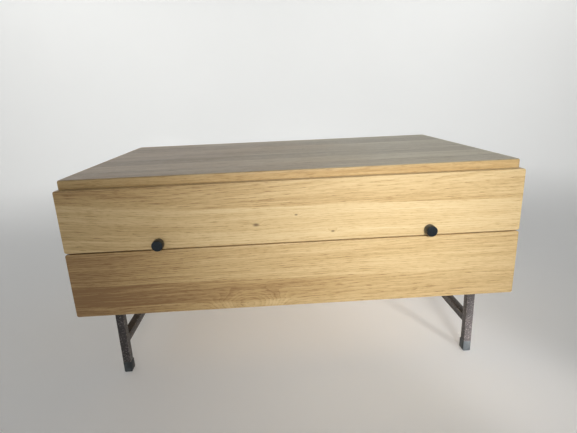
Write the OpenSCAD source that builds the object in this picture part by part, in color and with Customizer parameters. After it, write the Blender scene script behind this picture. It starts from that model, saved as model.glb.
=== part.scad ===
// Lift top coffee table: an oak carcass on steel side frames. The top swings up and forward on
// four parallel arms and carries the upper front. A full-width drawer runs below it.
// Millimetres. +Z is up, the front faces -Y, and the origin is on the floor under the middle.

/* [Table] */
// Width of the top panel, along X
table_w = 1000; // [900:10:1200]
// Depth of the top panel, along Y
top_d = 607; // [600:1:700]
// Height of the top surface above the floor
table_h = 475; // [470:1:520]

/* [Boards] */
// Thickness of the top panel
top_t = 22; // [20:1:24]
// Thickness of the two fronts
front_t = 22; // [20:1:26]
// Thickness of the carcass sides
side_t = 20; // [18:1:24]
// Thickness of the compartment floor and of the bottom panel
shelf_t = 15; // [14:1:18]
// Thickness of the back panel
back_t = 12; // [10:1:15]
// Plan radius of the top panel's corners
top_corner_r = 9; // [4:1:20]

/* [Fronts] */
// Height of the top panel's edge that shows above the upper front
reveal = 18; // [16:1:19]
// Height of the upper front
upper_front_h = 137.8; // [125:0.1:145]
// Height of the lower front
lower_front_h = 149.7; // [145:0.1:160]
// Gap between the two fronts
front_split = 2.5; // [2:0.5:4]
// Gap between the backs of the fronts and the carcass
front_gap = 1; // [0.8:0.1:2]
// How far the lower front hangs below the carcass
front_drop = 5; // [3:1:10]
// Corner radius of the fronts
front_corner_r = 5; // [2:0.5:10]

/* [Knobs] */
// Diameter of a knob
knob_d = 24; // [16:1:24]
// Length of a knob
knob_l = 20; // [16:1:30]
// Distance from the middle to each knob
knob_x = 295; // [200:5:350]
// Height of the knob centres above the upper front's lower edge
knob_rise = 13.4; // [12.5:0.1:40]

/* [Side frames] */
// Width of the square steel tube
tube_w = 18; // [16:1:25]
// Wall of the square steel tube
tube_wall = 1.5; // [1:0.5:2]
// Distance from the ends of the fronts in to the legs
leg_inset = 75; // [40:1:120]
// Height of the side stretchers' lower faces above the floor
stretcher_z = 76; // [50:1:100]
// Height of a foot cap below its leg
cap_h = 28; // [20:1:40]
// How far a foot cap stands out on its inner side
cap_proud = 4; // [3:0.5:6]

/* [Lift] */
// Length of an arm between its pivots
arm_l = 220; // [190:1:225]
// Width of an arm
arm_w = 24; // [20:1:26]
// Angle of the closed arms above the horizontal
arm_rest = 8; // [6:1:10]
// Distance between the two base pivots of a side
pivot_gap = 80; // [75:1:90]
// Slope of the line from the front pivot down to the rear pivot
pivot_slope = 20; // [18:1:24]
// Position of the front base pivots along Y
pivot_y = -70; // [-100:5:-60]
// Diameter of the pivot pins
pin_d = 8; // [6:1:10]

/* [Drawer] */
// Height of the drawer box
box_h = 100; // [80:1:104]
// Thickness of the drawer box walls
box_t = 12; // [10:1:14]
// Length of the drawer runners
runner_l = 450; // [400:10:450]

/* [Hidden] */
$fn = 64;
SLACK = 0.05;

// Depths along Y
body_d = top_d + front_t + front_gap + knob_l;
top_back = body_d / 2;
top_front = top_back - top_d;
fronts_back = top_front - front_gap;
fronts_face = fronts_back - front_t;
carcass_back = top_back - 3;
back_face = carcass_back - 4 - back_t;

// Heights
top_under = table_h - top_t;
upper_top = table_h - reveal;
upper_low = upper_top - upper_front_h;
lower_top = upper_low - front_split;
lower_low = lower_top - lower_front_h;
carcass_low = lower_low + front_drop;
bumper_t = 1.5;
carcass_top = top_under - bumper_t - 0.3;
shelf_top = upper_low + 12.8;
shelf_low = shelf_top - shelf_t;
bottom_top = carcass_low + shelf_t;

// Widths
front_w = table_w - 2;
side_out = table_w / 2 - 2;
side_in = side_out - side_t;

// Rails
rail_t = 16;
rail_low = shelf_low - 12;
rail_top = shelf_top + 13;
apron_rail_w = 2 * side_in - 16;
apron_rail_d = 22;
apron_rail_low = top_under - 60;
apron_bore_z = top_under - 25;

// Lift: layers from the carcass side inward, each at +X
plate_t = 3;
arm_t = 4;
base_plate_x = side_in - plate_t;
arm_x = base_plate_x - 1 - arm_t;
top_plate_x = arm_x - 1 - plate_t;
flange_w = 28;
rivet_t = 2;
pin_r = pin_d / 2;
arm_bore_r = pin_r + 0.08;
open_bore_r = pin_r + 0.3;
front_pivot = [pivot_y, shelf_top + 58];
rear_pivot = front_pivot + pivot_gap * [cos(pivot_slope), -sin(pivot_slope)];
arm_step = arm_l * [cos(arm_rest), sin(arm_rest)];
front_tip = front_pivot + arm_step;
rear_tip = rear_pivot + arm_step;

// Assist spring around the front base pivot
wire_r = 1.25;
coil_r = 9.5;
coil_turns = 4;
coil_pitch = 2.7;
spring_leg = 42;
spring_x = arm_x - 0.7 - wire_r;
coil_end_x = spring_x - coil_turns * coil_pitch;
cap_x = coil_end_x - wire_r - 2.4;
cap_r = coil_r + wire_r + 2;
post_r = 2;

// Drawer and runners
box_side_x = side_in - 13;
box_low = carcass_low + 23;
box_front = fronts_back;
box_depth = runner_l + 23;
box_back = box_front + box_depth;
groove = box_t / 2;
box_floor_z = box_low + 8;
box_floor_t = 6;
runner_y = box_front + 8;
runner_z = box_low + 40;

// Side frames
leg_out = front_w / 2 - leg_inset;
leg_in = leg_out - tube_w;
leg_front = top_front;
leg_back = carcass_back - tube_w;
tube_top = carcass_low - tube_w;

// Screws and dowels
screw_r = 2;
head_r = 4;
head_h = 2.2;
thin_head_h = 1.4;
dowel_r = 3;
dowel_l = 30;
dowel_in_side = 10;
knob_z = upper_low + knob_rise;
knob_sink = 0.4;
knob_head_h = 2.4;
shelf_dowel_y = [leg_front + 60, 15, back_face - 60];
back_dowel_z = [carcass_low + 60, carcass_top - 60];
rail_screw_x = [for (i = [-2:2]) i * apron_rail_w / 5];
frame_screw_y = [leg_front + 90, 15, leg_back - 90];
top_screw_y = [front_tip[0] - 16, rear_tip[0] + 16];
base_screw_y = [front_pivot[0] - 20, rear_pivot[0] + 20];
base_side_screws = [[front_pivot[0] - 20, shelf_top + 14], [rear_pivot[0] + 18, shelf_top + 10]];
runner_screw_y = [runner_y + 50, runner_y + runner_l / 2, runner_y + runner_l - 50];
box_screw_x = [-300, -100, 100, 300];

// ---- Shared shapes ----

// Straight box between two corners
module block(a, b) {
  translate(a) cube(b - a);
}

// Flat rectangle with round corners, centred
module round_rect(w, h, r) {
  square([w - 2 * r, h], center = true);
  square([w, h - 2 * r], center = true);
  for (x = [-1, 1], y = [-1, 1]) translate([x * (w / 2 - r), y * (h / 2 - r)]) circle(r);
}

// Children are drawn on the right, at +X, and mirrored for the left
module on_side(s) {
  mirror([s < 0 ? 1 : 0, 0, 0]) children();
}

module both_sides() {
  for (s = [-1, 1]) on_side(s) children();
}

// A flat outline in Y and Z, given thickness t along X from x
module plate_yz(x, t) {
  translate([x, 0, 0]) rotate([90, 0, 90]) linear_extrude(t) children();
}

// A flat outline in X and Z, given thickness t back from the plane y
module plate_xz(y, t) {
  translate([0, y + t, 0]) rotate([90, 0, 0]) linear_extrude(t) children();
}

// Countersunk screw along +Z with its head's face at the origin
module screw(l, head = head_h, slack = 0) {
  cylinder(r1 = head_r + slack, r2 = screw_r + slack, h = head);
  cylinder(r = screw_r + slack, h = l + slack);
}

// Places children, drawn along +Z, so that they run along +X, -X, -Y or -Z
module along_x() {
  rotate([0, 90, 0]) children();
}

module back_along_x() {
  rotate([0, -90, 0]) children();
}

module forward() {
  rotate([90, 0, 0]) children();
}

module downward() {
  rotate([180, 0, 0]) children();
}

// ---- Lifting top ----

module apron_screw_places() {
  for (x = rail_screw_x) {
    translate([x, fronts_back + apron_rail_d, apron_rail_low + 14]) forward() children(0);
    translate([x + 40, fronts_back + apron_rail_d / 2, apron_bore_z]) children(1);
  }
}

module apron_screw_set(slack = 0) {
  apron_screw_places() {
    screw(apron_rail_d + 13, slack = slack);
    screw(25 + 12, slack = slack);
  }
}

module top_bracket_screw_set(slack = 0) {
  both_sides()
    for (y = top_screw_y, x = [top_plate_x - 6, top_plate_x - 18])
      translate([x, y, top_under - plate_t]) screw(16, slack = slack);
}

module top_panel() {
  color("tan") difference() {
    translate([0, (top_front + top_back) / 2, top_under])
      linear_extrude(top_t) round_rect(table_w, top_d, top_corner_r);
    apron_screw_set(SLACK);
    top_bracket_screw_set(SLACK);
  }
}

// Machine screw through the upper front, its head sunk just below the front's back
module knob_screw(slack = 0) {
  translate([0, -knob_sink, 0]) forward() {
    cylinder(r = head_r + slack, h = knob_head_h + slack);
    cylinder(r = screw_r + slack, h = front_t - knob_sink + 12 + slack);
  }
}

module knob_places() {
  for (x = [-knob_x, knob_x]) translate([x, fronts_back, knob_z]) children();
}

module upper_front() {
  color("burlywood") difference() {
    plate_xz(fronts_face, front_t)
      translate([0, upper_low + upper_front_h / 2]) round_rect(front_w, upper_front_h, front_corner_r);
    apron_screw_set(SLACK);
    knob_places() {
      forward() cylinder(r = screw_r + SLACK, h = front_t + 1);
      translate([0, 1, 0]) forward() cylinder(r = head_r + 0.5, h = 1 + knob_sink + knob_head_h);
    }
  }
}

module apron_rail() {
  color("burlywood") difference() {
    block(
      [-apron_rail_w / 2, fronts_back, apron_rail_low],
      [apron_rail_w / 2, fronts_back + apron_rail_d, top_under]
    );
    apron_screw_set(SLACK);
    for (x = rail_screw_x)
      translate([x + 40, fronts_back + apron_rail_d / 2, apron_rail_low - 1])
        cylinder(r = head_r + 0.5, h = apron_bore_z - apron_rail_low + 1);
  }
}

module apron_screws() {
  color("silver") apron_screw_set();
}

module knob(s) {
  color("dimgray") on_side(s) difference() {
    translate([knob_x, fronts_face, knob_z]) forward() rotate_extrude()
      polygon([
        [0, 0], [knob_d / 2 - 1, 0], [knob_d / 2 - 1, 1.5], [knob_d / 2, 1.5],
        [knob_d / 2, knob_l - 1.5], [knob_d / 2 - 1.5, knob_l], [0, knob_l]
      ]);
    translate([knob_x, fronts_back, knob_z]) knob_screw(SLACK);
  }
}

module knob_screws() {
  color("silver") knob_places() knob_screw();
}

module top_bracket(s) {
  color("slategray") on_side(s) difference() {
    union() {
      block(
        [top_plate_x + plate_t - flange_w, front_tip[0] - 28, top_under - plate_t],
        [top_plate_x + plate_t, rear_tip[0] + 28, top_under]
      );
      plate_yz(top_plate_x, plate_t) {
        polygon([
          [front_tip[0] - 28, top_under], [rear_tip[0] + 28, top_under],
          [rear_tip[0] + 14, rear_tip[1]], [rear_tip[0], rear_tip[1] - 14],
          [front_tip[0], front_tip[1] - 14], [front_tip[0] - 14, front_tip[1]]
        ]);
        for (p = [front_tip, rear_tip]) translate(p) circle(14);
      }
    }
    for (p = [front_tip, rear_tip])
      translate([top_plate_x - 1, p[0], p[1]]) along_x() cylinder(r = pin_r + SLACK, h = plate_t + 2);
    top_bracket_screw_set(SLACK);
  }
}

module top_bracket_screws() {
  color("silver") top_bracket_screw_set();
}

// Two rivets through the top bracket and the arms, with heads at both ends
module top_pins(s) {
  color("silver") on_side(s)
    for (p = [front_tip, rear_tip]) translate([0, p[0], p[1]]) {
      translate([top_plate_x - 1.2, 0, 0]) along_x() cylinder(r = pin_r + 1.5, h = 1.2);
      translate([top_plate_x - 1.2, 0, 0]) along_x() cylinder(r = pin_r, h = arm_x + arm_t + 1.6 - top_plate_x);
      translate([arm_x + arm_t + 0.4, 0, 0]) along_x() cylinder(r = pin_r + 3, h = rivet_t);
    }
}

// ---- Arms ----

module arm_outline(from) {
  translate(from) difference() {
    union() {
      rotate(arm_rest) translate([0, -arm_w / 2]) square([arm_l, arm_w]);
      circle(arm_w / 2);
      translate(arm_step) circle(arm_w / 2);
    }
    circle(arm_bore_r);
    translate(arm_step) children();
  }
}

module front_arm(s) {
  color("gray") on_side(s) {
    plate_yz(arm_x, arm_t) arm_outline(front_pivot) circle(arm_bore_r);
    translate([spring_x - wire_r, front_pivot[0], front_pivot[1]])
      rotate([arm_rest, 0, 0]) translate([0, spring_leg - 6, -coil_r + wire_r + post_r + 0.1])
        along_x() cylinder(r = post_r, h = arm_x - spring_x + wire_r);
  }
}

module rear_arm(s) {
  color("gray") on_side(s)
    plate_yz(arm_x, arm_t) arm_outline(rear_pivot) circle(open_bore_r);
}

// Torsion spring: a straight leg under the arm's post, then the coil, wound inward along -X
coil_step = 15;
coil_angles = [for (a = [0:coil_step:coil_turns * 360]) a];
function coil_point(a) = [-coil_pitch * a / 360, coil_r * sin(a), -coil_r * cos(a)];
function coil_out(a) = [0, sin(a), -cos(a)];
function coil_ring(a, shift) = [
  for (k = [0:7]) coil_point(a) + shift + wire_r * (cos(45 * k) * coil_out(a) + sin(45 * k) * [1, 0, 0])
];

// The coil runs away from the leg, so the leg meets it in a straight line
module spring(s) {
  rings = concat(
    [coil_ring(0, [0, spring_leg, 0])],
    [for (a = coil_angles) coil_ring(-a, [-coil_pitch * a / 180, 0, 0])]
  );
  n = len(rings);
  points = [for (r = rings, p = r) p];
  walls = [
    for (i = [0:n - 2], k = [0:7])
      [8 * i + k, 8 * i + (k + 1) % 8, 8 * i + 8 + (k + 1) % 8, 8 * i + 8 + k]
  ];
  ends = [[for (k = [7:-1:0]) k], [for (k = [0:7]) 8 * (n - 1) + k]];
  color("dimgray") on_side(s)
    translate([spring_x, front_pivot[0], front_pivot[1]])
      rotate([arm_rest, 0, 0]) polyhedron(points, concat(walls, ends), convexity = 8);
}

// ---- Carcass ----

// Dowels between the sides and the shelves, the front rail and the back
module dowel_set(slack = 0) {
  both_sides() {
    for (z = [shelf_low + shelf_t / 2, carcass_low + shelf_t / 2], y = shelf_dowel_y)
      translate([side_in - dowel_l + dowel_in_side - slack, y, z])
        along_x() cylinder(r = dowel_r + slack, h = dowel_l + 2 * slack);
    for (z = back_dowel_z)
      translate([side_in - dowel_l + dowel_in_side - slack, back_face + back_t / 2, z])
        along_x() cylinder(r = dowel_r + slack, h = dowel_l + 2 * slack);
    translate([side_in - dowel_l + dowel_in_side - slack, top_front + rail_t / 2, shelf_low + shelf_t / 2])
      along_x() cylinder(r = dowel_r + slack, h = dowel_l + 2 * slack);
  }
}

module outer_runner_screw_set(slack = 0) {
  both_sides() for (y = runner_screw_y)
    translate([side_in - 1.5, y, runner_z]) along_x() screw(14, thin_head_h, slack);
}

module inner_runner_screw_set(slack = 0) {
  both_sides() for (y = runner_screw_y)
    translate([box_side_x + 1.5, y, runner_z]) back_along_x() screw(11, thin_head_h, slack);
}

// Screws of the base brackets, into the sides and into the compartment floor
module base_bracket_screw_set(slack = 0) {
  both_sides() {
    for (p = base_side_screws) translate([base_plate_x, p[0], p[1]]) along_x() screw(18, slack = slack);
    for (y = base_screw_y)
      translate([side_in - flange_w + 7, y, shelf_top + plate_t]) downward() screw(14, slack = slack);
  }
}

module frame_screw_set(slack = 0) {
  both_sides() for (y = frame_screw_y)
    translate([(leg_in + leg_out) / 2, y, tube_top - head_h]) {
      cylinder(r = head_r + slack, h = head_h + slack);
      cylinder(r = screw_r + slack, h = head_h + tube_w + 12 + slack);
    }
}

module carcass_side(s) {
  color("burlywood") difference() {
    on_side(s) block([side_in, top_front, carcass_low], [side_out, carcass_back, carcass_top]);
    dowel_set(SLACK);
    outer_runner_screw_set(SLACK);
    base_bracket_screw_set(SLACK);
  }
}

module back_panel() {
  color("burlywood") difference() {
    block([-side_in, back_face, carcass_low], [side_in, back_face + back_t, carcass_top]);
    dowel_set(SLACK);
  }
}

module compartment_floor() {
  color("wheat") difference() {
    block([-side_in, top_front + rail_t, shelf_low], [side_in, back_face, shelf_top]);
    dowel_set(SLACK);
    base_bracket_screw_set(SLACK);
  }
}

module front_rail() {
  color("burlywood") difference() {
    block([-side_in, top_front, rail_low], [side_in, top_front + rail_t, rail_top]);
    dowel_set(SLACK);
  }
}

module bottom_panel() {
  color("wheat") difference() {
    block([-side_in, top_front, carcass_low], [side_in, back_face, bottom_top]);
    dowel_set(SLACK);
    frame_screw_set(SLACK);
  }
}

module carcass_dowels() {
  color("wheat") dowel_set();
}

module lid_bumpers() {
  color("darkslategray") both_sides()
    for (y = [top_front + 40, carcass_back - 30])
      translate([(side_in + side_out) / 2, y, carcass_top]) cylinder(r = 5, h = bumper_t);
}

module base_bracket(s) {
  color("slategray") on_side(s) difference() {
    union() {
      block(
        [side_in - flange_w, front_pivot[0] - 32, shelf_top],
        [side_in, rear_pivot[0] + 32, shelf_top + plate_t]
      );
      plate_yz(base_plate_x, plate_t) {
        polygon([
          [front_pivot[0] - 32, shelf_top], [rear_pivot[0] + 32, shelf_top],
          [rear_pivot[0] + 14, rear_pivot[1] + 4], [rear_pivot[0], rear_pivot[1] + 14],
          [front_pivot[0], front_pivot[1] + 14], [front_pivot[0] - 14, front_pivot[1]]
        ]);
        for (p = [front_pivot, rear_pivot]) translate(p) circle(14);
      }
    }
    for (p = [front_pivot, rear_pivot])
      translate([base_plate_x - 1, p[0], p[1]]) along_x() cylinder(r = pin_r + SLACK, h = plate_t + 2);
    base_bracket_screw_set(SLACK);
  }
}

module base_bracket_screws() {
  color("silver") base_bracket_screw_set();
}

// The front pin is long, and carries the spring and its cap. The rear pin is a short rivet.
module base_pins(s) {
  color("silver") on_side(s) {
    translate([cap_x - rivet_t, front_pivot[0], front_pivot[1]]) {
      along_x() cylinder(r = pin_r, h = side_in - cap_x + rivet_t - 0.1);
      along_x() cylinder(r = pin_r + 2, h = rivet_t);
    }
    translate([arm_x - 0.4 - rivet_t, rear_pivot[0], rear_pivot[1]]) {
      along_x() cylinder(r = pin_r, h = side_in - arm_x + 0.3 + rivet_t);
      along_x() cylinder(r = pin_r + 3, h = rivet_t);
    }
  }
}

// Cup over the spring's inner end
module spring_cap(s) {
  color("dimgray") on_side(s)
    translate([cap_x, front_pivot[0], front_pivot[1]]) along_x() difference() {
      cylinder(r = cap_r, h = 7);
      translate([0, 0, 2]) cylinder(r = cap_r - 1.5, h = 6);
      translate([0, 0, -1]) cylinder(r = pin_r + SLACK, h = 9);
    }
}

// ---- Side frames ----

module square_tube(length) {
  linear_extrude(length) difference() {
    square(tube_w, center = true);
    square(tube_w - 2 * tube_wall, center = true);
  }
}

// A leg is open at the foot and closed by a plate at the top
module leg(s, y) {
  color("darkslategray") on_side(s)
    translate([(leg_in + leg_out) / 2, y + tube_w / 2, cap_h]) {
      square_tube(carcass_low - cap_h);
      translate([0, 0, carcass_low - cap_h - tube_wall])
        linear_extrude(tube_wall) square(tube_w, center = true);
    }
}

// A level tube along Y between the front and the back leg
module side_tube(s, z) {
  on_side(s) translate([(leg_in + leg_out) / 2, leg_back, z + tube_w / 2])
    forward() square_tube(leg_back - leg_front - tube_w);
}

module stretcher(s) {
  color("darkslategray") side_tube(s, stretcher_z);
}

module top_rail(s) {
  color("darkslategray") difference() {
    side_tube(s, tube_top);
    frame_screw_set(SLACK);
  }
}

module frame_screws() {
  color("silver") frame_screw_set();
}

// Side view of a foot cap: rounded at the floor and at the shoulder behind the leg
module cap_side() {
  depth = tube_w + cap_proud;
  translate([0, cap_proud]) square([tube_w, cap_h - cap_proud]);
  translate([cap_proud, 0]) square([tube_w - cap_proud, cap_h]);
  translate([cap_proud, cap_proud]) square([tube_w, cap_h - 2 * cap_proud]);
  for (p = [[cap_proud, cap_proud], [tube_w, cap_proud], [tube_w, cap_h - cap_proud]])
    translate(p) circle(cap_proud);
}

// Front view of a foot cap, rounded at the floor
module cap_front() {
  translate([-tube_w / 2, cap_proud]) square([tube_w, cap_h - cap_proud]);
  translate([cap_proud - tube_w / 2, 0]) square([tube_w - 2 * cap_proud, cap_h]);
  for (x = [-1, 1]) translate([x * (tube_w / 2 - cap_proud), cap_proud]) circle(cap_proud);
}

// A foot cap with the plug that holds it in its leg, the leg's outer face at y = 0
module foot_cap() {
  intersection() {
    plate_xz(0, tube_w + cap_proud) cap_front();
    plate_yz(-tube_w / 2, tube_w) cap_side();
  }
  translate([0, tube_w / 2, cap_h]) linear_extrude(14) square(tube_w - 2 * tube_wall, center = true);
}

module foot_caps() {
  color("dimgray") both_sides() translate([(leg_in + leg_out) / 2, 0, 0]) {
    translate([0, leg_front, 0]) foot_cap();
    translate([0, leg_back + tube_w, 0]) mirror([0, 1, 0]) foot_cap();
  }
}

// ---- Drawer ----

// Channel along Y, open towards the drawer: its web is at x and its flanges reach back to x0
module channel(x0, x1, h, wall) {
  block([x1 - wall, runner_y, runner_z - h / 2], [x1, runner_y + runner_l, runner_z + h / 2]);
  for (z = [runner_z - h / 2, runner_z + h / 2 - wall])
    block([x0, runner_y, z], [x1, runner_y + runner_l, z + wall]);
}

module outer_runner(s) {
  color("lightgray") difference() {
    on_side(s) channel(side_in - 11, side_in, 45, 1.5);
    outer_runner_screw_set(SLACK);
  }
}

module middle_runner(s) {
  color("silver") on_side(s) channel(side_in - 10.5, side_in - 2, 37, 1.2);
}

module inner_runner(s) {
  color("lightgray") difference() {
    on_side(s) {
      block(
        [box_side_x, runner_y, runner_z - 12.5],
        [box_side_x + 1.5, runner_y + runner_l, runner_z + 12.5]
      );
      for (z = [runner_z - 12.5, runner_z + 11])
        block([box_side_x, runner_y, z], [box_side_x + 9, runner_y + runner_l, z + 1.5]);
    }
    inner_runner_screw_set(SLACK);
  }
}

module outer_runner_screws() {
  color("silver") outer_runner_screw_set();
}

module inner_runner_screws() {
  color("silver") inner_runner_screw_set();
}

module drawer_front_screw_set(slack = 0) {
  for (x = box_screw_x, z = [box_low + 30, box_low + box_h - 25])
    translate([x, box_front + box_t, z]) forward() screw(box_t + 14, slack = slack);
}

// The drawer's bottom sheet, which also cuts the grooves that hold it
module bottom_sheet() {
  inner_x = box_side_x - box_t;
  block(
    [-inner_x - groove, box_front + box_t - groove, box_floor_z],
    [inner_x + groove, box_back - box_t + groove, box_floor_z + box_floor_t]
  );
}

module lower_front() {
  color("burlywood") difference() {
    plate_xz(fronts_face, front_t)
      translate([0, lower_low + lower_front_h / 2]) round_rect(front_w, lower_front_h, front_corner_r);
    drawer_front_screw_set(SLACK);
  }
}

module drawer_front_wall() {
  color("wheat") difference() {
    block([-box_side_x, box_front, box_low], [box_side_x, box_front + box_t, box_low + box_h]);
    bottom_sheet();
    drawer_front_screw_set(SLACK);
  }
}

module drawer_side_wall(s) {
  color("wheat") difference() {
    on_side(s) block([box_side_x - box_t, box_front + box_t, box_low], [box_side_x, box_back, box_low + box_h]);
    bottom_sheet();
    inner_runner_screw_set(SLACK);
  }
}

module drawer_back_wall() {
  inner_x = box_side_x - box_t;
  color("wheat") difference() {
    block([-inner_x, box_back - box_t, box_low], [inner_x, box_back, box_low + box_h]);
    bottom_sheet();
  }
}

module drawer_bottom() {
  color("tan") bottom_sheet();
}

module drawer_front_screws() {
  color("silver") drawer_front_screw_set();
}

module drawer_bumpers() {
  color("darkslategray") both_sides()
    for (z = [carcass_low + 25, rail_low - 10])
      translate([(side_in + side_out) / 2, fronts_back + front_gap - 0.3, z])
        forward() cylinder(r = 4, h = front_gap - 0.3);
}

top_panel();
upper_front();
apron_rail();
apron_screws();
knob(-1);  // left_knob
knob(1);  // right_knob
knob_screws();
top_bracket(-1);  // left_top_bracket
top_bracket(1);  // right_top_bracket
top_bracket_screws();
top_pins(-1);  // left_top_pins
top_pins(1);  // right_top_pins
front_arm(-1);  // left_front_arm
front_arm(1);  // right_front_arm
spring(-1);  // left_spring
spring(1);  // right_spring
rear_arm(-1);  // left_rear_arm
rear_arm(1);  // right_rear_arm
carcass_side(-1);  // left_side
carcass_side(1);  // right_side
back_panel();
compartment_floor();
front_rail();
bottom_panel();
carcass_dowels();
base_bracket(-1);  // left_base_bracket
base_bracket(1);  // right_base_bracket
base_bracket_screws();
base_pins(-1);  // left_base_pins
base_pins(1);  // right_base_pins
spring_cap(-1);  // left_spring_cap
spring_cap(1);  // right_spring_cap
lid_bumpers();
leg(-1, leg_front);  // front_left_leg
leg(1, leg_front);  // front_right_leg
leg(-1, leg_back);  // back_left_leg
leg(1, leg_back);  // back_right_leg
stretcher(-1);  // left_stretcher
stretcher(1);  // right_stretcher
top_rail(-1);  // left_top_rail
top_rail(1);  // right_top_rail
frame_screws();
foot_caps();
outer_runner(-1);  // left_outer_runner
outer_runner(1);  // right_outer_runner
middle_runner(-1);  // left_middle_runner
middle_runner(1);  // right_middle_runner
inner_runner(-1);  // left_inner_runner
inner_runner(1);  // right_inner_runner
outer_runner_screws();
inner_runner_screws();
lower_front();
drawer_front_wall();
drawer_side_wall(-1);  // drawer_left_wall
drawer_side_wall(1);  // drawer_right_wall
drawer_back_wall();
drawer_bottom();
drawer_front_screws();
drawer_bumpers();
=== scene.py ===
"""The looks of a lift top coffee table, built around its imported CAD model.

Lengths are in metres, in the model's frame: X to the right, -Y to the front, Z up, floor at 0.
"""

import math

import bpy
from mathutils import Matrix, Vector


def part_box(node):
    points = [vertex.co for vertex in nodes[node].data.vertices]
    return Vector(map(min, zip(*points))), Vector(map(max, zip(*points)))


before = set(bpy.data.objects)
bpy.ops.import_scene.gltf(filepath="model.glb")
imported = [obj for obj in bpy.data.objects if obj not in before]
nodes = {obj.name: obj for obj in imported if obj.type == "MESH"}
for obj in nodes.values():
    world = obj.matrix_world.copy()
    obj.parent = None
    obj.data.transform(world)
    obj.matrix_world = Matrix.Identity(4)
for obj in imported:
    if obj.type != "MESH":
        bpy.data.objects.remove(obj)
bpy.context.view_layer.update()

MM = 0.001

# ---- Shader trees -----------------------------------------------------------


class Tree:
    """Short calls that add nodes to a shader tree. A value is a number, a tuple or a socket."""

    def __init__(self, node_tree):
        self.tree = node_tree

    def plug(self, socket, value):
        if isinstance(value, bpy.types.NodeSocket):
            self.tree.links.new(value, socket)
        else:
            socket.default_value = value

    def add(self, kind, inputs=None, **settings):
        node = self.tree.nodes.new("ShaderNode" + kind)
        for key, value in settings.items():
            setattr(node, key, value)
        for key, value in (inputs or {}).items():
            self.plug(node.inputs[key], value)
        return node

    def math(self, operation, *values):
        node = self.add("Math", operation=operation)
        for socket, value in zip(node.inputs, values):
            self.plug(socket, value)
        return node.outputs[0]

    def total(self, *values):
        """The sum of the values."""
        result = values[0]
        for value in values[1:]:
            result = self.math("ADD", result, value)
        return result

    def times(self, a, b):
        return self.math("MULTIPLY", a, b)

    def swing(self, value, amount):
        """A 0 to 1 value, turned into one that swings by amount about 0."""
        return self.math("MULTIPLY", self.math("SUBTRACT", value, 0.5), amount)

    def length(self, a, b):
        squares = self.math("ADD", self.math("POWER", a, 2), self.math("POWER", b, 2))
        return self.math("SQRT", squares)

    def split(self, vector):
        return self.add("SeparateXYZ", {"Vector": vector}).outputs

    def join(self, x, y, z):
        return self.add("CombineXYZ", {"X": x, "Y": y, "Z": z}).outputs[0]

    def stretch(self, vector, scale):
        return self.add("VectorMath", {0: vector, 1: scale}, operation="MULTIPLY").outputs[0]

    def noise(self, vector, scale=1.0, detail=2.0, roughness=0.5):
        inputs = {"Vector": vector, "Scale": scale, "Detail": detail, "Roughness": roughness}
        return self.add("TexNoise", inputs).outputs["Fac"]

    def band(self, value, low, high):
        """0 below low and 1 above high, smooth between."""
        inputs = {"Value": value, "From Min": low, "From Max": high}
        return self.add("MapRange", inputs, interpolation_type="SMOOTHSTEP").outputs["Result"]

    def lerp(self, factor, a, b):
        node = self.add("Mix", data_type="FLOAT")
        for index, value in enumerate((factor, a, b)):
            self.plug(node.inputs[(0, 2, 3)[index]], value)
        return node.outputs[0]

    def blend(self, factor, a, b):
        """Colour a at factor 0 and colour b at factor 1. A colour is three numbers or a socket."""
        node = self.add("Mix", data_type="RGBA")
        for index, value in ((0, factor), (6, a), (7, b)):
            self.plug(node.inputs[index], (*value, 1.0) if isinstance(value, tuple) else value)
        return node.outputs[2]

    def ramp(self, factor, colours):
        """Runs through the colours, evenly spaced from factor 0 to factor 1."""
        node = self.add("ValToRGB", {"Fac": factor})
        stops = node.color_ramp.elements
        while len(stops) < len(colours):
            stops.new(0.5)
        for index, colour in enumerate(colours):
            stops[index].position = index / (len(colours) - 1)
            stops[index].color = (*colour, 1.0)
        return node.outputs["Color"]

    def bump(self, height, strength, distance):
        inputs = {"Height": height, "Strength": strength, "Distance": distance}
        return self.add("Bump", inputs).outputs["Normal"]

    def place(self):
        """The point in the model's frame, in metres. It stays with a piece that moves."""
        return self.add("TexCoord").outputs["Object"]

    def edge_distance(self, place, box):
        """How far a point is from the nearest edge of a box-shaped piece."""
        low, high = box
        gaps = []
        for axis, value in enumerate(self.split(place)):
            below = self.math("ABSOLUTE", self.math("SUBTRACT", value, low[axis]))
            above = self.math("ABSOLUTE", self.math("SUBTRACT", high[axis], value))
            gaps.append(self.math("MINIMUM", below, above))
        nearer = self.math("MINIMUM", gaps[0], gaps[1])
        farther = self.math("MAXIMUM", gaps[0], gaps[1])
        return self.math("MAXIMUM", nearer, self.math("MINIMUM", farther, gaps[2]))


def new_material(name, metallic=0.0, coat=0.0, coat_roughness=0.2, specular=0.5):
    """A material, its tree and its shader. What is the same all over is set on the shader here."""
    material = bpy.data.materials.new(name)
    material.use_nodes = True
    shader = material.node_tree.nodes["Principled BSDF"]
    shader.inputs["Metallic"].default_value = metallic
    shader.inputs["Coat Weight"].default_value = coat
    shader.inputs["Coat Roughness"].default_value = coat_roughness
    shader.inputs["Specular IOR Level"].default_value = specular
    return material, Tree(material.node_tree), shader


def finish_material(tree, shader, colour, roughness, normal):
    tree.plug(shader.inputs["Base Color"], colour)
    tree.plug(shader.inputs["Roughness"], roughness)
    tree.plug(shader.inputs["Normal"], normal)


# ---- Wood -------------------------------------------------------------------

RING_WIDTH = 2.4 * MM
BEND_SIZE = 16 * MM
RIPPLE_SIZE = 3.0 * MM

# How often each feature repeats in a metre: along the grain, across the board, deep into it.
BEND = (2.5, 6, 6)
RIPPLE = (16, 70, 70)
FIBRE = (8, 280, 280)
FLECK = (34, 430, 430)
DASH = (75, 1300, 1300)
CLOUD = (2.2, 26, 26)

# The seeds of two boards land this far apart in the noise, for each unit of difference.
SEED_STRIDE = 3.7


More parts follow.
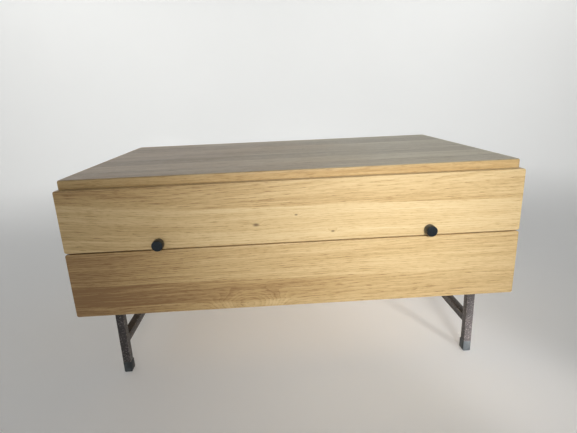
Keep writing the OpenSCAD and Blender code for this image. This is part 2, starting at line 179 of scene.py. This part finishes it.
def make_log_group():
    """Wood as it grows: rings round a log's axis, with fibres, pores and slow changes of tone.

    Place is (along the grain, across the board, deep into it). Across and Deep say where the
    log's axis runs, and Drift how much it dives along the board, which draws the arches. Swirl
    pushes the rings outwards, as they grow round a knot.
    """
    group = bpy.data.node_groups.new("log", "ShaderNodeTree")
    group.interface.new_socket("Place", in_out="INPUT", socket_type="NodeSocketVector")
    for name in ("Seed", "Across", "Deep", "Drift", "Swirl"):
        group.interface.new_socket(name, in_out="INPUT", socket_type="NodeSocketFloat")
    for name in ("Ring", "Year", "Fibre", "Pore", "Cloud"):
        group.interface.new_socket(name, in_out="OUTPUT", socket_type="NodeSocketFloat")
    given = group.nodes.new("NodeGroupInput").outputs
    result = group.nodes.new("NodeGroupOutput").inputs
    t = Tree(group)
    u, v, w = t.split(given["Place"])
    place = t.join(t.total(u, t.times(given["Seed"], SEED_STRIDE)), v, t.total(w, given["Seed"]))

    bend = t.swing(t.noise(t.stretch(place, BEND)), BEND_SIZE)
    ripple = t.swing(t.noise(t.stretch(place, RIPPLE), detail=3), RIPPLE_SIZE)
    across = t.total(t.math("SUBTRACT", v, given["Across"]), bend)
    deep = t.total(w, given["Deep"], t.times(u, given["Drift"]))
    radius = t.total(t.length(across, deep), ripple, given["Swirl"])
    turns = t.math("DIVIDE", radius, RING_WIDTH)
    early = t.math("POWER", t.math("SUBTRACT", 1, t.math("FRACT", turns)), 2)
    year = t.noise(t.join(t.times(turns, 0.45), given["Seed"], t.times(u, 1.5)), detail=3)

    fibre = t.noise(t.stretch(place, FIBRE), detail=3, roughness=0.65)
    fleck = t.band(t.noise(t.stretch(place, FLECK), detail=2), 0.50, 0.74)
    dash = t.band(t.noise(t.stretch(place, DASH), detail=1), 0.55, 0.68)
    in_early_wood = t.total(t.times(early, 0.6), 0.4)
    pore = t.times(t.total(t.times(fleck, 0.6), t.times(dash, 0.6)), in_early_wood)
    cloud = t.noise(t.stretch(place, CLOUD), detail=3)
    results = {"Ring": early, "Year": year, "Fibre": fibre, "Pore": pore, "Cloud": cloud}
    for name, value in results.items():
        t.plug(result[name], value)
    return group


log_group = make_log_group()


class Board:
    """One board of a glued panel: where it ends across the grain, how light it is, and its log.

    A tone is one number, or three: at the low end of the grain, in the middle, at the high end.
    On the fronts the low-end tone is partly darker wood and partly painted shade.
    """

    def __init__(self, end, tone, seed, across, deep=0.06, drift=0.008):
        self.end, self.seed, self.across = end, seed, across
        self.deep, self.drift = deep, drift
        tones = tone if isinstance(tone, tuple) else (tone, tone, tone)
        self.low_tone, self.mid_tone, self.high_tone = tones


def by_board(t, position, boards, key, soft=0.0):
    """The value of the board that holds the position, and how softly it changes at the joint."""
    value = getattr(boards[0], key)
    for before, board in zip(boards, boards[1:]):
        past = t.band(position, before.end - soft, before.end + soft)
        if not soft:
            past = t.math("GREATER_THAN", position, before.end)
        value = t.lerp(past, value, getattr(board, key))
    return value


def joint_lines(t, position, boards):
    """1 on the hairline between two boards."""
    lines = 0.0
    for board in boards[:-1]:
        gap = t.math("ABSOLUTE", t.math("SUBTRACT", position, board.end))
        lines = t.math("MAXIMUM", lines, t.math("SUBTRACT", 1, t.band(gap, 0.15 * MM, 0.6 * MM)))
    return lines


def spots(t, u, v, places, size, low, high):
    """1 in the middle of each spot, fading out. A place is (along, across, radius)."""
    most = 0.0
    for along, across, radius in places:
        du = t.math("DIVIDE", t.math("SUBTRACT", u, along), 1.9 * size * radius)
        dv = t.math("DIVIDE", t.math("SUBTRACT", v, across), size * radius)
        most = t.math("MAXIMUM", most, t.math("SUBTRACT", 1, t.band(t.length(du, dv), low, high)))
    return most


# How often worn patches and smudges of the lacquer repeat in a metre.
WORN_PATCHES, SMUDGES = 60, 7

# Colours of each wood, from its darkest streak to its lightest.
OAK = ((0.300, 0.165, 0.065), (0.520, 0.345, 0.150), (0.690, 0.505, 0.255), (0.795, 0.622, 0.355))
# The top's up-facing side: a darker brown as painted shade, going to a greyer oak as a painted
# reflection.
TOP_SHADED_BROWN = (
    (0.240, 0.130, 0.055),
    (0.425, 0.272, 0.130),
    (0.575, 0.400, 0.225),
    (0.680, 0.530, 0.340),
)
TOP_SHEEN_GREY = (
    (0.270, 0.205, 0.125),
    (0.470, 0.390, 0.255),
    (0.630, 0.550, 0.385),
    (0.720, 0.660, 0.500),
)
BIRCH = (
    (0.480, 0.340, 0.190),
    (0.640, 0.490, 0.310),
    (0.760, 0.620, 0.430),
    (0.840, 0.720, 0.540),
)
KNOT = (0.090, 0.045, 0.020)
JOINT_SHADE = (0.110, 0.065, 0.030)
AXES = "XYZ"

# Where, in metres along the grain, a board changes from its low tone (partly painted shade on the
# fronts) to its middle tone, from its middle to its high tone, where the painted grey reflection
# takes over the top, and how far out the grain lifts.
LOW_SPAN = (-0.52, -0.06)
HIGH_SPAN = (-0.16, 0.30)
SHEEN_SPAN = (-0.40, 0.30)
LIFT_SPAN = (0.22, 0.52)

WAVER_SIZE = 12 * MM
SOFT_JOINT = 2.5 * MM
CURL_HEIGHT = 24 * MM
KNOT_CURL_HEIGHT = 4 * MM

# How much each feature of the log lightens or darkens the wood.
MEAN_SHADE = 0.05
CLOUD_SHADE = 0.36
YEAR_SHADE = 0.60
FIBRE_SHADE = 0.62
RING_SHADE = -0.12
PORE_SHADE = -0.55

WOOD_COAT_ROUGHNESS = 0.30
WOOD_ROUGHNESS = 0.36


def wood(
    name, nodes_in, along, across, boards, colours=OAK, face=None, knots=(), eyes=(), tilt=0.0,
    lift=0.0, figure=1.0, coat=0.18, specular=0.40,
):
    """Satin lacquered boards. along and across are axes; face gives the up-facing side its own
    colours, at the low and at the high end.

    knots are dark spots and eyes are places where the grain curls, each (along, across, radius).
    tilt turns the grain a little out of level, lift raises it towards the low end, and figure is
    how strong it shows.
    """
    material, t, shader = new_material(
        name, coat=coat, coat_roughness=WOOD_COAT_ROUGHNESS, specular=specular
    )
    place = t.place()
    axes = dict(zip(AXES, t.split(place)))
    deep = next(axis for axis in AXES if axis not in (along, across))
    u, v, w = axes[along], axes[across], axes[deep]
    level = v
    if tilt:
        waver = t.swing(t.noise(t.join(t.times(u, 3.0), 0.0, 0.0), detail=1), WAVER_SIZE)
        rise = t.times(t.band(t.times(u, -1), *LIFT_SPAN), -lift)
        level = t.total(v, t.times(u, tilt), waver, rise)
    curls = t.times(spots(t, u, v, eyes, 1.0, 0.0, 1.0), CURL_HEIGHT)
    curls = t.total(curls, t.times(spots(t, u, v, knots, 4.0, 0.0, 1.0), KNOT_CURL_HEIGHT))
    group = t.tree.nodes.new("ShaderNodeGroup")
    group.node_tree = log_group
    t.plug(group.inputs["Place"], t.join(u, level, w))
    t.plug(group.inputs["Swirl"], curls)
    for key in ("seed", "across", "deep", "drift"):
        t.plug(group.inputs[key.title()], by_board(t, level, boards, key))
    log = group.outputs
    ring, fibre, pore = log["Ring"], log["Fibre"], log["Pore"]

    joint_width = SOFT_JOINT if tilt else 0.0
    # On the fronts the low tone is partly painted shade over the left end, partly darker wood.
    low_tone, mid_tone, high_tone = (
        by_board(t, level, boards, key, joint_width)
        for key in ("low_tone", "mid_tone", "high_tone")
    )
    past_middle = t.lerp(t.band(u, *HIGH_SPAN), mid_tone, high_tone)
    tone = t.lerp(t.band(u, *LOW_SPAN), low_tone, past_middle)
    shade = t.total(
        tone,
        t.swing(log["Cloud"], CLOUD_SHADE * figure),
        t.swing(log["Year"], YEAR_SHADE * figure),
        t.swing(fibre, FIBRE_SHADE * figure),
        t.times(ring, RING_SHADE * figure),
        t.times(pore, PORE_SHADE * figure),
        MEAN_SHADE * figure,
    )
    colour = t.ramp(shade, colours)
    # The up-facing side takes darker colours as painted shade, turning grey towards the high end as
    # a painted reflection.
    if face:
        up = t.split(t.add("TexCoord").outputs["Normal"])[2]
        along_top = t.total(u, t.swing(t.noise(t.stretch(place, (2, 4, 4)), detail=3), 0.7))
        low_end, high_end = (t.ramp(shade, end_colours) for end_colours in face)
        top_shade_and_sheen = t.blend(t.band(along_top, *SHEEN_SPAN), low_end, high_end)
        colour = t.blend(t.band(up, 0.55, 0.95), colour, top_shade_and_sheen)
    knot = spots(t, u, v, knots, 1.0, 0.2, 1.3)
    colour = t.blend(t.times(knot, 0.75), colour, KNOT)
    if not tilt:
        colour = t.blend(t.times(joint_lines(t, v, boards), 0.55), colour, JOINT_SHADE)
    edge = t.edge_distance(place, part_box(nodes_in[0]))
    patchy = t.band(t.noise(place, scale=WORN_PATCHES, detail=3), 0.35, 0.75)
    rub = t.times(t.math("SUBTRACT", 1, t.band(edge, 0.3 * MM, 3.2 * MM)), patchy)
    colour = t.blend(t.times(rub, 0.30), colour, colours[-1])
    smudge = t.noise(place, scale=SMUDGES, detail=4, roughness=0.6)
    roughness = t.total(
        WOOD_ROUGHNESS, t.swing(smudge, 0.16), t.times(pore, 0.22), t.times(rub, 0.12)
    )
    hollows = t.total(t.times(ring, 0.25), pore, t.times(knot, 0.4))
    height = t.math("SUBTRACT", t.times(fibre, 0.5), hollows)
    finish_material(t, shader, colour, roughness, t.bump(height, 0.35, 0.35 * MM))
    for node in nodes_in:
        dress(node, material)


# ---- Metal, plastic and rubber ----------------------------------------------

# How often each kind of mark repeats in a metre.
MOTTLE, METAL_GRAIN, GRIT, PATCHES = 18, 900, 420, 140
STREAK = (60, 60, 8)
DULL_MOTTLE, DULL_GRAIN = 45, 1600


def metal(name, nodes_in, dark, light, worn, roughness, metallic=1.0, speckle=0.0):
    """A metal finish: mottled between dark and light, and worn to bare along its edges.

    speckle is how much light grit a powder coat shows.
    """
    for node in nodes_in:
        material, t, shader = new_material(f"{name}_{node}", metallic=metallic)
        place = t.place()
        mottle = t.noise(place, scale=MOTTLE, detail=4, roughness=0.6)
        grain = t.noise(place, scale=METAL_GRAIN)
        streak = t.noise(t.stretch(place, STREAK), detail=3)
        grit = t.band(t.noise(place, scale=GRIT), 0.54, 0.70)
        shade = t.total(t.times(mottle, 0.6), t.times(grain, 0.25), t.times(streak, 0.15))
        colour = t.blend(t.band(shade, 0.30, 0.70), dark, light)
        colour = t.blend(t.times(grit, speckle), colour, worn)
        edge = t.edge_distance(place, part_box(node))
        patchy = t.band(t.noise(place, scale=PATCHES, detail=3), 0.45, 0.70)
        rub = t.times(t.math("SUBTRACT", 1, t.band(edge, 0.2 * MM, 1.6 * MM)), patchy)
        colour = t.blend(t.times(rub, 0.6), colour, worn)
        rough = t.total(roughness, t.swing(mottle, 0.16), t.swing(grain, 0.14), t.times(rub, -0.08))
        finish_material(t, shader, colour, rough, t.bump(grain, 0.25, 0.12 * MM))
        dress(node, material)


def dull(name, nodes_in, dark, light, roughness):
    """Rubber or matt plastic, with a fine moulded grain and dust."""
    material, t, shader = new_material(name, specular=0.35)
    place = t.place()
    mottle = t.noise(place, scale=DULL_MOTTLE, detail=4)
    grain = t.noise(place, scale=DULL_GRAIN)
    colour = t.blend(t.band(mottle, 0.3, 0.75), dark, light)
    rough = t.total(roughness, t.swing(grain, 0.12), t.swing(mottle, 0.12))
    finish_material(t, shader, colour, rough, t.bump(grain, 0.3, 0.10 * MM))
    for node in nodes_in:
        dress(node, material)


# ---- Dressing the CAD nodes -------------------------------------------------

TOUCHING = 0.02 * MM
WELD_REACH = 0.01 * MM
FLAT_ANGLE = math.radians(1)
SHARP_ANGLE = math.radians(35)
RIM_SEGMENTS = 4

# How wide each kind of edge is rounded.
TOP_ROUND, TOP_UNDERSIDE_ROUND = 4.5 * MM, 2.5 * MM
FRONT_ROUND, FRONT_REAR_ROUND = 2.0 * MM, 1.0 * MM
PANEL_ROUND = 1.0 * MM
TUBE_ROUND = 1.2 * MM
KNOB_ROUND = 0.6 * MM
FINE_ROUND, PANEL_FINE_ROUND = 0.3 * MM, 0.2 * MM
dressed = set()


def dress(node, material):
    mesh = nodes[node].data
    mesh.materials.clear()
    mesh.materials.append(material)
    dressed.add(node)


def near_outline(node, reach, face=None):
    """The vertices at the corners of the piece's box, or, for a face given as an axis and a
    level, the vertices on it that are within reach of its outline."""
    low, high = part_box(node)
    found = set()
    for vertex in nodes[node].data.vertices:
        gaps = [min(abs(p - a), abs(b - p)) for p, a, b in zip(vertex.co, low, high)]
        if face:
            axis, level = face
            del gaps[axis]
            if abs(vertex.co[axis] - level) < TOUCHING and min(gaps) < reach:
                found.add(vertex.index)
        elif max(gaps) < reach:
            found.add(vertex.index)
    return found


def soften(node, width, segments=2, rims=()):
    """Rounds the piece's sharp edges with modifiers, and leaves its mesh alone.

    rims are (vertices, width): the edges between those vertices get a wider round of their own.
    """
    piece = nodes[node]
    weld = piece.modifiers.new("weld", "WELD")
    weld.merge_threshold = WELD_REACH
    flat = piece.modifiers.new("flat", "DECIMATE")
    flat.decimate_type = "DISSOLVE"
    flat.angle_limit = FLAT_ANGLE
    if rims:
        widest = max(rim_width for vertices, rim_width in rims)
        weights = piece.data.attributes.new("bevel_weight_edge", "FLOAT", "EDGE")
        for edge in piece.data.edges:
            for vertices, rim_width in rims:
                if vertices.issuperset(edge.vertices):
                    weights.data[edge.index].value = rim_width / widest
        rim = piece.modifiers.new("round_rims", "BEVEL")
        rim.limit_method = "WEIGHT"
        rim.width = widest
        rim.segments = RIM_SEGMENTS
    edges = piece.modifiers.new("soft_edges", "BEVEL")
    edges.limit_method = "ANGLE"
    edges.angle_limit = SHARP_ANGLE
    edges.width = width
    edges.segments = segments
    edges.harden_normals = not rims
    if rims:
        piece.modifiers.new("shading", "WEIGHTED_NORMAL")
    for polygon in piece.data.polygons:
        polygon.use_smooth = True


def even_boards(low, high, count, tones, first_seed, deep=0.07, drift=0.012):
    """Boards of one width that fill a panel."""
    boards = []
    for index in range(count):
        end = low + (high - low) * (index + 1) / count
        start = low + (high - low) * index / count
        side = -0.6 if index % 2 else 1.4
        boards.append(
            Board(
                end,
                tones[index % len(tones)],
                first_seed + 1.31 * index,
                across=start + (end - start) * side,
                deep=deep * (0.7 + 0.25 * (index % 3)),
                drift=drift * (-1) ** index,
            )
        )
    return boards


SIDES = ("left", "right")
top_lo, top_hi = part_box("top_panel")
upper_lo, upper_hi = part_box("upper_front")
lower_lo, lower_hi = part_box("lower_front")
side_lo, side_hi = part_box("left_side")
back_lo, back_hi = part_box("back_panel")

# The upper front is a light board below a darker one, with a narrow dark streak at their joint.
upper_joint = upper_lo.z + 0.59 * (upper_hi.z - upper_lo.z)
below = upper_lo.z
above = upper_hi.z
# Their low tones darken the left end: partly darker wood, partly painted shade.
upper_boards = [
    Board(upper_joint, (0.60, 0.78, 0.76), 2.1, below - 0.10, deep=0.05, drift=0.012),
    Board(upper_joint + 0.012, (0.38, 0.50, 0.60), 6.3, below - 0.08, deep=0.05, drift=0.020),
    Board(above, (0.28, 0.47, 0.63), 5.4, above + 0.05, deep=0.05, drift=-0.025),
]
wood(
    "oak_upper_front",
    ["upper_front"],
    "X",
    "Z",
    upper_boards,
    knots=[(-0.084, 0.363, 4 * MM), (0.082, 0.340, 2.5 * MM), (0.003, 0.381, 2 * MM)],
    tilt=0.012,
    lift=20 * MM,
    figure=1.1,
)
# The lower front has a dark board between two lighter ones. All of them darken to the left:
# partly darker wood, partly painted shade.
below = lower_lo.z
above = lower_hi.z
lower_boards = [
    Board(below + 0.017, (0.16, 0.52, 0.60), 7.7, below - 0.08, deep=0.05, drift=0.01),
    Board(below + 0.068, (0.00, 0.34, 0.54), 3.3, below - 0.03, deep=0.045, drift=0.015),
    Board(above, (0.14, 0.58, 0.64), 9.2, above + 0.10, deep=0.06, drift=-0.020),
]
wood(
    "oak_lower_front",
    ["lower_front"],
    "X",
    "Z",
    lower_boards,
    eyes=[(-0.105, below + 0.002, 58 * MM)],
    tilt=0.010,
    figure=1.1,
)
wood(
    "oak_top",
    ["top_panel"],
    "X",
    "Y",
    even_boards(top_lo.y, top_hi.y, 7, (0.50, 0.62, 0.44, 0.56, 0.66), 1.7),
    # The top's face colours are painted shade and a painted grey reflection.
    face=(TOP_SHADED_BROWN, TOP_SHEEN_GREY),
    coat=0.04,
    specular=0.28,
)
wood("oak_apron", ["apron_rail"], "X", "Z", even_boards(0.39, 0.46, 1, (0.6,), 4.2))
for seed, side in enumerate(SIDES):
    tones = (0.55, 0.68, 0.48, 0.62) if seed else (0.62, 0.50, 0.66, 0.56)
    boards = even_boards(side_lo.z, side_hi.z, 4, tones, 11.0 + 7 * seed)
    wood(f"oak_{side}_side", [f"{side}_side"], "Y", "Z", boards)
boards = even_boards(back_lo.z, back_hi.z, 3, (0.60, 0.52, 0.64), 21.0)
wood("oak_back", ["back_panel"], "X", "Z", boards)
boards = even_boards(-0.29, 0.31, 6, (0.6, 0.5, 0.66), 31.0)
wood("oak_floor", ["compartment_floor"], "X", "Y", boards)
boards = even_boards(-0.29, 0.31, 6, (0.55, 0.48, 0.6), 41.0)
wood("oak_bottom", ["bottom_panel"], "X", "Y", boards)
wood("oak_rail", ["front_rail"], "X", "Z", even_boards(0.30, 0.35, 1, (0.58,), 47.0))
for index, wall in enumerate(("front", "back")):
    boards = even_boards(0.19, 0.30, 1, (0.66,), 51.0 + index)
    wood(f"birch_{wall}_wall", [f"drawer_{wall}_wall"], "X", "Z", boards, colours=BIRCH, figure=0.6)
for index, wall in enumerate(SIDES):
    boards = even_boards(0.19, 0.30, 1, (0.62,), 55.0 + index)
    wood(f"birch_{wall}_wall", [f"drawer_{wall}_wall"], "Y", "Z", boards, colours=BIRCH, figure=0.6)
wood(
    "birch_drawer_bottom",
    ["drawer_bottom"],
    "X",
    "Y",
    even_boards(-0.27, 0.18, 1, (0.7,), 59.0),
    colours=BIRCH,
    figure=0.5,
)
boards = even_boards(-0.3, 0.3, 1, (0.7,), 61.0)
wood("beech_dowels", ["carcass_dowels"], "X", "Y", boards, colours=BIRCH)


def both(*names):
    """The left and right nodes of each name."""
    return [f"{side}_{name}" for name in names for side in SIDES]


legs = [f"{end}_{side}_leg" for end in ("front", "back") for side in SIDES]
metal(
    "bronze_steel",
    legs + both("stretcher", "top_rail"),
    (0.032, 0.028, 0.028),
    (0.070, 0.061, 0.060),
    (0.42, 0.37, 0.36),
    0.42,
    metallic=0.15,
    speckle=0.42,
)
metal(
    "black_plate",
    both("knob"),
    (0.022, 0.027, 0.032),
    (0.054, 0.066, 0.077),
    (0.30, 0.21, 0.13),
    0.36,
    metallic=0.85,
)
metal(
    "bracket_steel",
    both("top_bracket", "base_bracket", "front_arm", "rear_arm", "spring", "spring_cap"),
    (0.080, 0.082, 0.086),
    (0.150, 0.152, 0.158),
    (0.45, 0.44, 0.42),
    0.40,
    metallic=0.9,
)
metal(
    "zinc_steel",
    both("top_pins", "base_pins", "outer_runner", "middle_runner", "inner_runner")
    + ["apron_screws", "knob_screws", "top_bracket_screws", "base_bracket_screws", "frame_screws"]
    + ["outer_runner_screws", "inner_runner_screws", "drawer_front_screws"],
    (0.46, 0.47, 0.48),
    (0.66, 0.67, 0.68),
    (0.80, 0.80, 0.79),
    0.30,
)
dull("rubber", ["foot_caps"], (0.038, 0.045, 0.049), (0.085, 0.098, 0.106), 0.50)
dull(
    "clear_rubber",
    ["lid_bumpers", "drawer_bumpers"],
    (0.42, 0.43, 0.42),
    (0.60, 0.61, 0.60),
    0.40,
)

Y, Z = 1, 2
top_rims = [
    (near_outline("top_panel", 3 * MM, (Z, top_hi.z)), TOP_ROUND),
    (near_outline("top_panel", 3 * MM, (Z, top_lo.z)), TOP_UNDERSIDE_ROUND),
]
soften("top_panel", FINE_ROUND, rims=top_rims)
for name, low, high in (("upper_front", upper_lo, upper_hi), ("lower_front", lower_lo, lower_hi)):
    front_rims = [
        (near_outline(name, 2 * MM, (Y, low.y)), FRONT_ROUND),
        (near_outline(name, 2 * MM, (Y, high.y)), FRONT_REAR_ROUND),
    ]
    soften(name, FINE_ROUND, rims=front_rims)
panels = ["left_side", "right_side", "back_panel", "front_rail", "bottom_panel", "apron_rail"]
panels += [f"drawer_{wall}_wall" for wall in ("front", "back") + SIDES]
for name in panels + both("top_rail"):
    soften(name, PANEL_FINE_ROUND, rims=[(near_outline(name, TOUCHING), PANEL_ROUND)])
for name in legs + both("stretcher"):
    soften(name, TUBE_ROUND, segments=3)
for name in both("knob"):
    soften(name, KNOB_ROUND, segments=3)
for name in [n for n in nodes if not nodes[n].modifiers]:
    soften(name, FINE_ROUND)

missing = sorted(set(nodes) - dressed)
if missing:
    raise SystemExit(f"no finish for {missing}")

# ---- Camera, floor and light ------------------------------------------------

CAMERA_PLACE = Vector((-0.0423, -1.1670, 0.6271))
CAMERA_YAW, CAMERA_PITCH, CAMERA_ROLL = -1.915, -16.113, 2.432
CAMERA_LENS = 26.08
SENSOR_WIDTH = 36.0
BOWL_RADIUS, BOWL_CURVE, BOWL_HEIGHT = 3.0, 1.2, 4.0
BOWL_STEPS, BOWL_ARC_STEPS = 96, 12
PAPER_DARK, PAPER_LIGHT = (0.84, 0.84, 0.83), (0.87, 0.87, 0.86)
PAPER_ROUGHNESS = 0.8
FLOOR_GLOW = 0.166


def add_camera():
    data = bpy.data.cameras.new("camera")
    data.lens = CAMERA_LENS
    data.sensor_width = SENSOR_WIDTH
    camera = bpy.data.objects.new("camera", data)
    turn = (
        Matrix.Rotation(math.radians(CAMERA_YAW), 4, "Z")
        @ Matrix.Rotation(math.radians(90 + CAMERA_PITCH), 4, "X")
        @ Matrix.Rotation(math.radians(-CAMERA_ROLL), 4, "Z")
    )
    camera.matrix_world = Matrix.Translation(CAMERA_PLACE) @ turn
    bpy.context.scene.collection.objects.link(camera)
    bpy.context.scene.camera = camera


def add_softbox(name, place, aim, size, power, colour, spread=180):
    """A soft rectangular lamp that looks at a point, and isn't seen itself."""
    data = bpy.data.lights.new(name, "AREA")
    data.shape = "RECTANGLE"
    data.size, data.size_y = size
    data.energy = power
    data.color = colour
    data.spread = math.radians(spread)
    lamp = bpy.data.objects.new(name, data)
    lamp.location = place
    lamp.rotation_euler = (Vector(aim) - Vector(place)).to_track_quat("-Z", "Y").to_euler()
    lamp.visible_camera = False
    bpy.context.scene.collection.objects.link(lamp)


def add_bowl():
    """A pale floor that curves up into a round wall, so that every view ends in plain paper."""
    steps = BOWL_STEPS
    profile = [(0.0, 0.0), (BOWL_RADIUS * 0.5, 0.0)]
    for step in range(BOWL_ARC_STEPS + 1):
        turn = math.radians(90 * step / BOWL_ARC_STEPS)
        out = BOWL_RADIUS + BOWL_CURVE * math.sin(turn)
        profile.append((out, BOWL_CURVE * (1 - math.cos(turn))))
    profile.append((BOWL_RADIUS + BOWL_CURVE, BOWL_HEIGHT))
    points = [(0.0, 0.0, 0.0)]
    for out, up in profile[1:]:
        for step in range(steps):
            turn = math.tau * step / steps
            points.append((out * math.cos(turn), out * math.sin(turn), up))
    faces = [(0, 1 + step, 1 + (step + 1) % steps) for step in range(steps)]
    for ring in range(len(profile) - 2):
        for step in range(steps):
            first, second = 1 + ring * steps + step, 1 + ring * steps + (step + 1) % steps
            faces.append((first, first + steps, second + steps, second))
    mesh = bpy.data.meshes.new("floor")
    mesh.from_pydata(points, [], faces)
    for polygon in mesh.polygons:
        polygon.use_smooth = True
    floor = bpy.data.objects.new("floor", mesh)
    bpy.context.scene.collection.objects.link(floor)
    material, t, shader = new_material("floor", specular=0.15)
    shader.inputs["Emission Color"].default_value = (1.0, 1.0, 1.0, 1.0)
    shader.inputs["Emission Strength"].default_value = FLOOR_GLOW
    cloud = t.noise(t.place(), scale=1.5, detail=3)
    colour = t.blend(cloud, PAPER_DARK, PAPER_LIGHT)
    roughness = t.total(PAPER_ROUGHNESS, t.swing(cloud, 0.05))
    finish_material(t, shader, colour, roughness, t.bump(cloud, 0.02, MM))
    mesh.materials.append(material)


def add_world(colour, strength):
    world = bpy.data.worlds.new("studio")
    world.use_nodes = True
    background = world.node_tree.nodes["Background"]
    background.inputs["Color"].default_value = (*colour, 1)
    background.inputs["Strength"].default_value = strength
    bpy.context.scene.world = world


add_camera()
add_bowl()
add_world((0.95, 0.98, 1.0), 0.03)
add_softbox(
    "key",
    place=(0.30, -2.35, 1.05),
    aim=(0.35, -0.30, 0.37),
    size=(0.6, 0.4),
    power=0.95,
    colour=(1.0, 0.99, 0.97),
    spread=29,
)
add_softbox(
    "side_key",
    place=(0.08, -2.45, 1.10),
    aim=(0.09, -0.30, 0.38),
    size=(0.6, 0.4),
    power=0.69,
    colour=(1.0, 0.99, 0.98),
    spread=27,
)
add_softbox(
    "low",
    place=(0.95, -1.55, 0.10),
    aim=(0.415, -0.28, 0.03),
    size=(0.3, 0.08),
    power=0.30,
    colour=(1.0, 0.96, 0.95),
    spread=11,
)
add_softbox(
    "over",
    place=(0.0, 0.0, 3.2),
    aim=(0.0, 0.0, 0.0),
    size=(4.0, 4.0),
    power=1.5,
    colour=(1.0, 1.0, 1.0),
)
for side, x in zip(SIDES, (-1.6, 1.6)):
    add_softbox(
        f"wall_{side}",
        place=(x, 1.6, 2.6),
        aim=(x * 0.7, 4.2, 1.0),
        size=(1.6, 0.5),
        power=19,
        colour=(0.99, 1.0, 0.99),
        spread=150,
    )
bpy.context.scene.view_settings.view_transform = "Standard"
